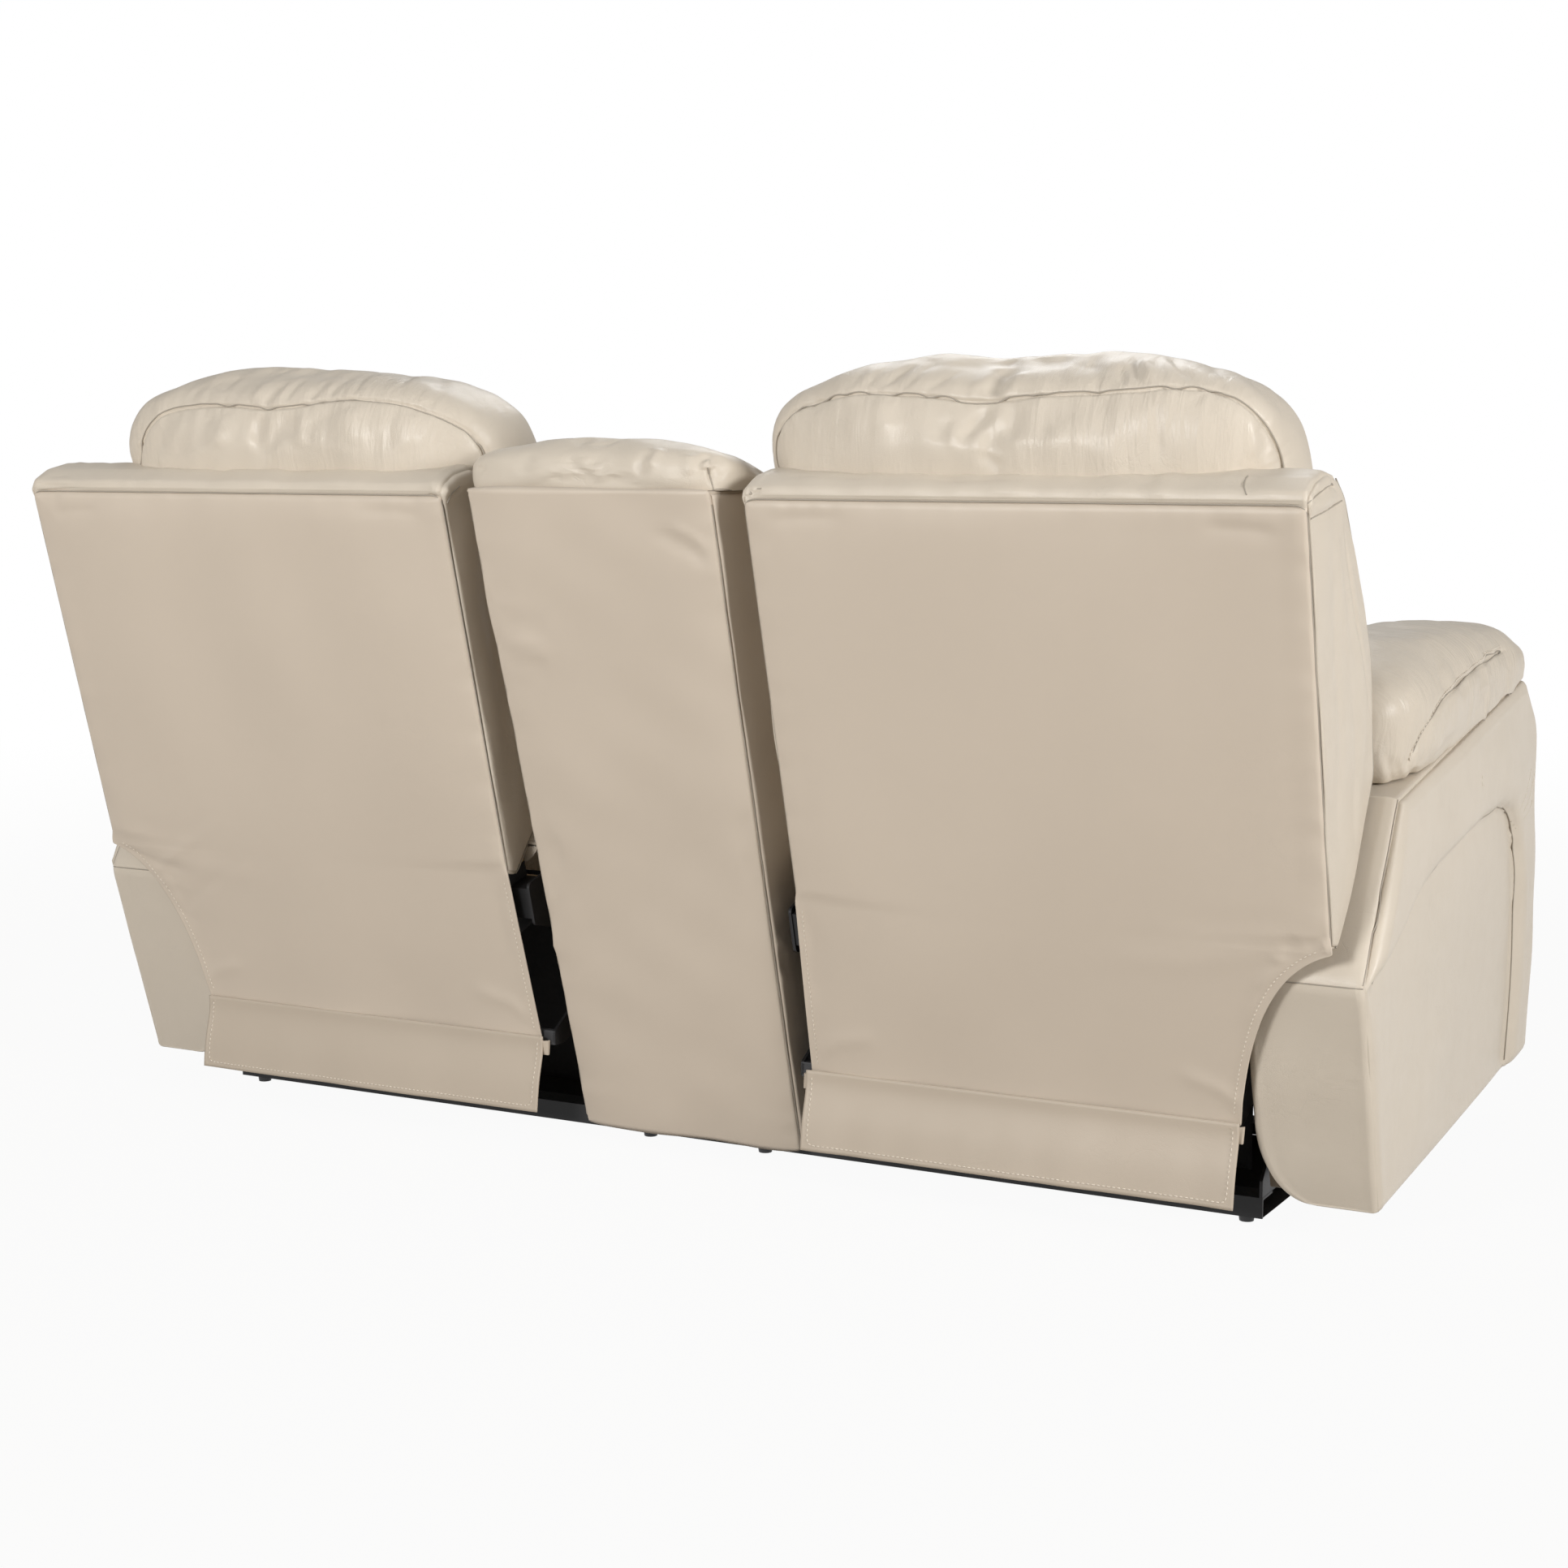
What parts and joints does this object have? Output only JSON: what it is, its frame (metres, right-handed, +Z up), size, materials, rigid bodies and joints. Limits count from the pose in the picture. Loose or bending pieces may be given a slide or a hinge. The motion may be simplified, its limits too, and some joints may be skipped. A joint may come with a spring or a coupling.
{
  "type": "reclining console loveseat",
  "caption": "Reclining loveseat with a fixed storage console between its seats, folding footrests, leaning backs and padded arms.",
  "frame": {"origin": "on the floor under the middle of the sofa, footrests folded and backs upright", "axes": "+Z up, +X to the sitter's left along the sofa, -Y the way the sitter faces"},
  "size_m": [1.9, 1.05, 1.055],
  "materials": {
    "leather": "cream leather, soft satin, fine pebble grain",
    "matte_vinyl": "cream matte vinyl, smooth",
    "timber": "bare frame timber",
    "black_steel": "black powder coat",
    "zinc_steel": "zinc plated",
    "black_plastic": "fine texture",
    "walnut": "satin dark wood",
    "stainless": "brushed"
  },
  "bodies": {
    "base": {"cross_rails": "black_steel", "feet": "black_plastic", "base_plates": "black_steel", "arm_frames": "timber", "left_arm_cover": "leather", "right_arm_cover": "leather", "left_arm_pillow": "leather", "right_arm_pillow": "leather", "release_bezels": "black_plastic", "console_body": "leather", "console_bin": "black_plastic", "console_back": "matte_vinyl", "console_cap": "leather", "console_hinges": "black_steel", "console_deck": "walnut", "cup_holders": "stainless"},
    "lid": {"console_lid": "walnut", "console_lid_pad": "leather"},
    "left_release": {"left_release_lever": "black_plastic"},
    "right_release": {"right_release_lever": "black_plastic"},
    "left_rear_swing": {"left_rear_swing_links": "zinc_steel"},
    "left_front_swing": {"left_front_swing_links": "zinc_steel"},
    "left_carriage": {"left_seat_plates": "black_steel", "left_seat_frame": "timber", "left_seat_springs": "zinc_steel", "left_seat_cushion": "leather", "left_skirt": "matte_vinyl"},
    "left_back": {"left_back_brackets": "black_steel", "left_back_frame": "timber", "left_back_cover": "matte_vinyl", "left_back_cushion": "leather", "left_head_pillow": "leather", "left_back_flap": "matte_vinyl"},
    "left_drive": {"left_drive_links": "zinc_steel"},
    "left_idler": {"left_idler_links": "zinc_steel"},
    "left_lower_carrier": {"left_lower_carriers": "zinc_steel"},
    "left_upper_carrier": {"left_upper_carriers": "zinc_steel"},
    "left_footrest": {"left_footrest_brackets": "black_steel", "left_footrest_board": "timber", "left_footrest_pad": "leather"},
    "right_rear_swing": {"right_rear_swing_links": "zinc_steel"},
    "right_front_swing": {"right_front_swing_links": "zinc_steel"},
    "right_carriage": {"right_seat_plates": "black_steel", "right_seat_frame": "timber", "right_seat_springs": "zinc_steel", "right_seat_cushion": "leather", "right_skirt": "matte_vinyl"},
    "right_back": {"right_back_brackets": "black_steel", "right_back_frame": "timber", "right_back_cover": "matte_vinyl", "right_back_cushion": "leather", "right_head_pillow": "leather", "right_back_flap": "matte_vinyl"},
    "right_drive": {"right_drive_links": "zinc_steel"},
    "right_idler": {"right_idler_links": "zinc_steel"},
    "right_lower_carrier": {"right_lower_carriers": "zinc_steel"},
    "right_upper_carrier": {"right_upper_carriers": "zinc_steel"},
    "right_footrest": {"right_footrest_brackets": "black_steel", "right_footrest_board": "timber", "right_footrest_pad": "leather"}
  },
  "joints": [
    {"name": "lid_hinge", "type": "hinge", "parent": "base", "child": "lid", "pos_m": [0, 0.164, 0.569], "axis": [-1, 0, 0], "range_deg": [0, 90]},
    {"name": "left_release", "type": "hinge", "parent": "base", "child": "left_release", "pos_m": [0.783, -0.29, 0.54], "axis": [-1, 0, 0], "range_deg": [0, 25], "stiffness_Nm_per_rad": 0.4, "springref_deg": -8.59},
    {"name": "left_recline", "type": "hinge", "parent": "left_carriage", "child": "left_back", "pos_m": [0.4825, 0.2, 0.29], "axis": [-1, 0, 0], "range_deg": [0, 35], "deforming": ["left_back_flap"]},
    {"name": "left_rear_swing", "type": "hinge", "parent": "base", "child": "left_rear_swing", "pos_m": [0.4825, 0.15, 0.11], "axis": [1, 0, 0], "range_deg": [0, 7]},
    {"name": "left_seat_glide", "type": "hinge", "parent": "left_rear_swing", "child": "left_carriage", "pos_m": [0.4825, 0.16737, 0.20848], "axis": [-1, 0, 0], "range_deg": [0, 7]},
    {"name": "left_front_swing", "type": "hinge", "parent": "base", "child": "left_front_swing", "pos_m": [0.4825, -0.06, 0.11], "axis": [1, 0, 0], "range_deg": [0, 7]},
    {"name": "left_footrest_drive", "type": "hinge", "parent": "left_carriage", "child": "left_drive", "pos_m": [0.4825, -0.33, 0.31], "axis": [-1, 0, 0], "range_deg": [0, 87]},
    {"name": "left_footrest_idler", "type": "hinge", "parent": "left_carriage", "child": "left_idler", "pos_m": [0.4825, -0.277, 0.281], "axis": [-1, 0, 0], "range_deg": [0, 87]},
    {"name": "left_lower_carrier", "type": "hinge", "parent": "left_drive", "child": "left_lower_carrier", "pos_m": [0.4825, -0.22434, 0.08342], "axis": [1, 0, 0], "range_deg": [0, 87]},
    {"name": "left_upper_carrier", "type": "hinge", "parent": "left_drive", "child": "left_upper_carrier", "pos_m": [0.4825, -0.25351, 0.14596], "axis": [1, 0, 0], "range_deg": [0, 87]},
    {"name": "left_footrest_tilt", "type": "hinge", "parent": "left_lower_carrier", "child": "left_footrest", "pos_m": [0.4825, -0.43928, 0.20103], "axis": [-1, 0, 0], "range_deg": [0, 87]},
    {"name": "right_release", "type": "hinge", "parent": "base", "child": "right_release", "pos_m": [-0.783, -0.29, 0.54], "axis": [-1, 0, 0], "range_deg": [0, 25], "stiffness_Nm_per_rad": 0.4, "springref_deg": -8.59},
    {"name": "right_recline", "type": "hinge", "parent": "right_carriage", "child": "right_back", "pos_m": [-0.4825, 0.2, 0.29], "axis": [-1, 0, 0], "range_deg": [0, 35], "deforming": ["right_back_flap"]},
    {"name": "right_rear_swing", "type": "hinge", "parent": "base", "child": "right_rear_swing", "pos_m": [-0.4825, 0.15, 0.11], "axis": [1, 0, 0], "range_deg": [0, 7]},
    {"name": "right_seat_glide", "type": "hinge", "parent": "right_rear_swing", "child": "right_carriage", "pos_m": [-0.4825, 0.16737, 0.20848], "axis": [-1, 0, 0], "range_deg": [0, 7]},
    {"name": "right_front_swing", "type": "hinge", "parent": "base", "child": "right_front_swing", "pos_m": [-0.4825, -0.06, 0.11], "axis": [1, 0, 0], "range_deg": [0, 7]},
    {"name": "right_footrest_drive", "type": "hinge", "parent": "right_carriage", "child": "right_drive", "pos_m": [-0.4825, -0.33, 0.31], "axis": [-1, 0, 0], "range_deg": [0, 87]},
    {"name": "right_footrest_idler", "type": "hinge", "parent": "right_carriage", "child": "right_idler", "pos_m": [-0.4825, -0.277, 0.281], "axis": [-1, 0, 0], "range_deg": [0, 87]},
    {"name": "right_lower_carrier", "type": "hinge", "parent": "right_drive", "child": "right_lower_carrier", "pos_m": [-0.4825, -0.22434, 0.08342], "axis": [1, 0, 0], "range_deg": [0, 87]},
    {"name": "right_upper_carrier", "type": "hinge", "parent": "right_drive", "child": "right_upper_carrier", "pos_m": [-0.4825, -0.25351, 0.14596], "axis": [1, 0, 0], "range_deg": [0, 87]},
    {"name": "right_footrest_tilt", "type": "hinge", "parent": "right_lower_carrier", "child": "right_footrest", "pos_m": [-0.4825, -0.43928, 0.20103], "axis": [-1, 0, 0], "range_deg": [0, 87]}
  ],
  "couplings": [
    {"joint": "left_rear_swing", "follows": "left_recline", "ratio": 0.2},
    {"joint": "left_seat_glide", "follows": "left_recline", "ratio": 0.2},
    {"joint": "left_front_swing", "follows": "left_recline", "ratio": 0.2},
    {"joint": "left_footrest_idler", "follows": "left_footrest_drive", "ratio": 1},
    {"joint": "left_lower_carrier", "follows": "left_footrest_drive", "ratio": 1},
    {"joint": "left_upper_carrier", "follows": "left_footrest_drive", "ratio": 1},
    {"joint": "left_footrest_tilt", "follows": "left_footrest_drive", "ratio": 1},
    {"joint": "right_rear_swing", "follows": "right_recline", "ratio": 0.2},
    {"joint": "right_seat_glide", "follows": "right_recline", "ratio": 0.2},
    {"joint": "right_front_swing", "follows": "right_recline", "ratio": 0.2},
    {"joint": "right_footrest_idler", "follows": "right_footrest_drive", "ratio": 1},
    {"joint": "right_lower_carrier", "follows": "right_footrest_drive", "ratio": 1},
    {"joint": "right_upper_carrier", "follows": "right_footrest_drive", "ratio": 1},
    {"joint": "right_footrest_tilt", "follows": "right_footrest_drive", "ratio": 1}
  ]
}
